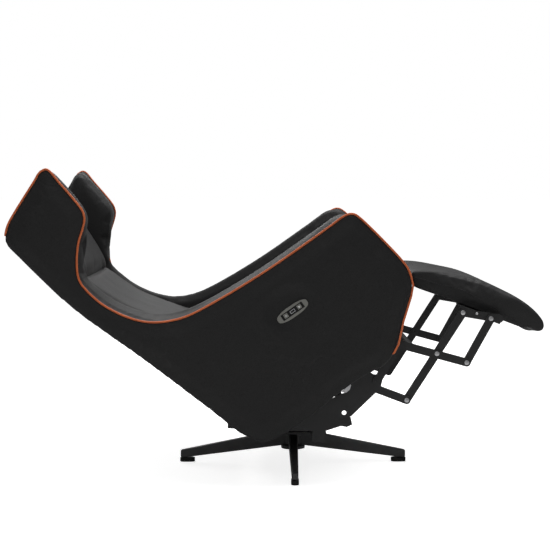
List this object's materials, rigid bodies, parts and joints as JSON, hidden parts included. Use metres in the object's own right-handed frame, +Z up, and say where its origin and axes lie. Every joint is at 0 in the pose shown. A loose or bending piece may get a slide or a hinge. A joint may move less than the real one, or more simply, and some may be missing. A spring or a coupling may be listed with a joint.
{
  "type": "power recliner chair",
  "caption": "High-backed powered reclining armchair on a swivel star base, laid back with its folding footrest out; winged head, arm-side control panel.",
  "frame": {"origin": "on the floor, under the middle of the overall box", "axes": "+X the way the sitter faces, +Y to the sitter's left, +Z up; stored fully reclined with the footrest out"},
  "size_m": [1.5025, 0.7823, 0.8793],
  "materials": {
    "cover_leather": "smooth semi-matt",
    "inner_leather": "smooth semi-matt",
    "lining_cloth": "plain weave",
    "orange_piping": "semi-matt",
    "black_steel": "satin powder coat",
    "base_metal": "satin powder coat",
    "glide_rubber": "matt",
    "frame_wood": "raw plywood",
    "web_cloth": "coarse weave",
    "motor_plastic": "matt",
    "rod_steel": "brushed",
    "grey_plastic": "satin",
    "socket_metal": "polished"
  },
  "bodies": {
    "base": {"star_base": "base_metal", "glide_front": "glide_rubber", "glide_left": "glide_rubber", "glide_rear": "glide_rubber", "glide_right": "glide_rubber", "swivel_lower_race": "black_steel"},
    "swivel_frame": {"swivel_upper_race": "black_steel", "beam_front": "black_steel", "beam_rear": "black_steel", "frame_plate_left": "black_steel", "frame_plate_right": "black_steel"},
    "shell": {"seat_plate_left": "black_steel", "seat_plate_right": "black_steel", "tilt_cross_tube": "black_steel", "footrest_cross_tube": "black_steel", "rail_front": "frame_wood", "rail_rear": "frame_wood", "rail_left": "frame_wood", "rail_right": "frame_wood", "seat_web_1": "web_cloth", "seat_web_2": "web_cloth", "seat_web_3": "web_cloth", "seat_cushion": "inner_leather", "seat_front_panel": "lining_cloth", "side_cover_left": "cover_leather", "side_cover_right": "cover_leather", "side_core_left": "frame_wood", "side_core_right": "frame_wood", "inner_pad_left": "inner_leather", "inner_pad_right": "inner_leather", "piping_left": "orange_piping", "piping_right": "orange_piping", "back_cover": "cover_leather", "back_frame": "frame_wood", "back_cushion": "inner_leather", "head_cushion": "inner_leather", "control_bezel": "grey_plastic", "usb_socket": "socket_metal"},
    "swing_arms": {"swing_arm_left": "black_steel", "swing_arm_right": "black_steel"},
    "rear_links": {"rear_link_left": "black_steel", "rear_link_right": "black_steel", "torque_tube": "black_steel"},
    "long_links": {"long_link_left": "black_steel", "long_link_right": "black_steel"},
    "upper_links": {"upper_link_left": "black_steel", "upper_link_right": "black_steel"},
    "control_links": {"control_link_left": "black_steel", "control_link_right": "black_steel"},
    "footrest": {"footrest_bracket_left": "black_steel", "footrest_bracket_right": "black_steel", "footrest_board": "lining_cloth", "footrest_pad": "inner_leather"},
    "tilt_cylinder": {"tilt_motor": "motor_plastic"},
    "tilt_piston": {"tilt_rod": "rod_steel"},
    "footrest_cylinder": {"footrest_motor": "motor_plastic"},
    "footrest_piston": {"footrest_rod": "rod_steel"},
    "recline_key": {"button_recline": "grey_plastic"},
    "return_key": {"button_return": "grey_plastic"}
  },
  "joints": [
    {"name": "seat_swivel", "type": "hinge", "parent": "base", "child": "swivel_frame", "pos_m": [0.043, 0, 0.1], "axis": [0, 0, 1], "continuous": true},
    {"name": "body_tilt", "type": "hinge", "parent": "swivel_frame", "child": "shell", "pos_m": [0.043, 0, 0.3], "axis": [0, 1, 0], "range_deg": [0, 32]},
    {"name": "footrest_fold", "type": "hinge", "parent": "shell", "child": "swing_arms", "pos_m": [0.27238, 0, 0.28768], "axis": [0, -1, 0], "range_deg": [0, 57]},
    {"name": "rear_link_fold", "type": "hinge", "parent": "swing_arms", "child": "rear_links", "pos_m": [0.33673, 0, 0.39039], "axis": [0, -1, 0], "range_deg": [-91.1, 0]},
    {"name": "long_link_fold", "type": "hinge", "parent": "rear_links", "child": "long_links", "pos_m": [0.44167, 0, 0.36399], "axis": [0, -1, 0], "range_deg": [0, 47.6]},
    {"name": "upper_link_fold", "type": "hinge", "parent": "rear_links", "child": "upper_links", "pos_m": [0.52583, 0, 0.33875], "axis": [0, -1, 0], "range_deg": [0, 46.4]},
    {"name": "bracket_fold", "type": "hinge", "parent": "upper_links", "child": "footrest", "pos_m": [0.59358, 0, 0.46245], "axis": [0, -1, 0], "range_deg": [-50.5, 0]},
    {"name": "control_link_fold", "type": "hinge", "parent": "long_links", "child": "control_links", "pos_m": [0.3576, 0, 0.23245], "axis": [0, -1, 0], "range_deg": [-91.5, 0]},
    {"name": "tilt_cylinder_swing", "type": "hinge", "parent": "swivel_frame", "child": "tilt_cylinder", "pos_m": [-0.087, -0.06, 0.195], "axis": [0, 1, 0], "range_deg": [0, 9.6]},
    {"name": "tilt_cylinder_stroke", "type": "slide", "parent": "tilt_cylinder", "child": "tilt_piston", "axis": [0.9491, 0, 0.315], "range_m": [-0.0405, 0]},
    {"name": "footrest_cylinder_swing", "type": "hinge", "parent": "shell", "child": "footrest_cylinder", "pos_m": [-0.01053, 0.06, 0.27245], "axis": [0, -1, 0], "range_deg": [0, 9.7]},
    {"name": "footrest_cylinder_stroke", "type": "slide", "parent": "footrest_cylinder", "child": "footrest_piston", "axis": [0.9722, 0, 0.234], "range_m": [-0.1265, 0]},
    {"name": "recline_press", "type": "slide", "parent": "shell", "child": "recline_key", "axis": [0, 1, 0], "range_m": [0, 0.0015], "stiffness_N_per_m": 400, "springref_m": -0.0005},
    {"name": "return_press", "type": "slide", "parent": "shell", "child": "return_key", "axis": [0, 1, 0], "range_m": [0, 0.0015], "stiffness_N_per_m": 400, "springref_m": -0.0005}
  ],
  "couplings": [
    {"joint": "rear_link_fold", "follows": "footrest_fold", "ratio": -1.5932},
    {"joint": "long_link_fold", "follows": "footrest_fold", "ratio": 0.83051},
    {"joint": "upper_link_fold", "follows": "footrest_fold", "ratio": 0.80847},
    {"joint": "bracket_fold", "follows": "footrest_fold", "ratio": -0.88136},
    {"joint": "control_link_fold", "follows": "footrest_fold", "ratio": -1.5992},
    {"joint": "footrest_cylinder_swing", "follows": "footrest_fold", "ratio": 0.16559},
    {"joint": "footrest_cylinder_stroke", "follows": "footrest_fold", "m_per_rad": -0.12654},
    {"joint": "tilt_cylinder_swing", "follows": "body_tilt", "ratio": 0.29344},
    {"joint": "tilt_cylinder_stroke", "follows": "body_tilt", "m_per_rad": -0.07173}
  ]
}
